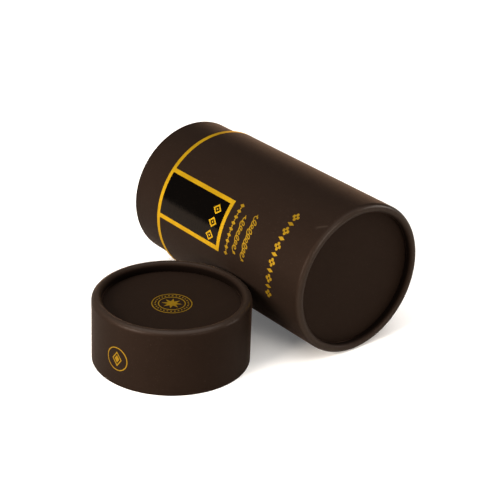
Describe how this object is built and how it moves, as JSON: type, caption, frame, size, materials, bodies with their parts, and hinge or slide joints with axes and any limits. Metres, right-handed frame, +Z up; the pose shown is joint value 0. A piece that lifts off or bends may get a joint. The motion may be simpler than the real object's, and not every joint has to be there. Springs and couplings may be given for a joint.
{
  "type": "cylindrical gift tube box",
  "caption": "Round paper tube box lying on its side, with rolled rims and a neck, and its lid taken off and standing beside it.",
  "frame": {"origin": "middle of the part's box in plan, at the height of the surface that it lies and stands on", "axes": "+Z up; the lying body's axis is along X with its mouth and neck towards -X and its base towards +X; the lid stands on the -Y side"},
  "size_m": [0.124, 0.141, 0.071],
  "materials": {
    "board": "dark spiral-wound greyboard",
    "printed_paper": "soft-touch matt laminated paper, brown-black",
    "lining_paper": "plain uncoated black paper",
    "gold_foil": "hot-stamped gold foil",
    "spot_varnish": "high-gloss spot varnish"
  },
  "bodies": {
    "body": {"body_board": "board", "body_wrap": "printed_paper", "base_disc": "board", "base_disc_paper": "printed_paper", "base_lining": "lining_paper", "neck_board": "board", "neck_wrap": "printed_paper", "neck_lining": "lining_paper", "edge_ring": "gold_foil", "frame_foil": "gold_foil", "gloss_panel": "spot_varnish"},
    "lid": {"lid_board": "board", "lid_wrap": "printed_paper", "lid_disc": "board", "lid_disc_paper": "printed_paper", "lid_disc_lining": "lining_paper", "lid_lining": "lining_paper", "lid_seal": "gold_foil", "lid_emblem": "gold_foil"}
  },
  "joints": [
    {"name": "lid_lift", "type": "slide", "parent": "body", "child": "lid", "axis": [0, -0.28, 0.96], "range_m": [0, 0.1]}
  ]
}
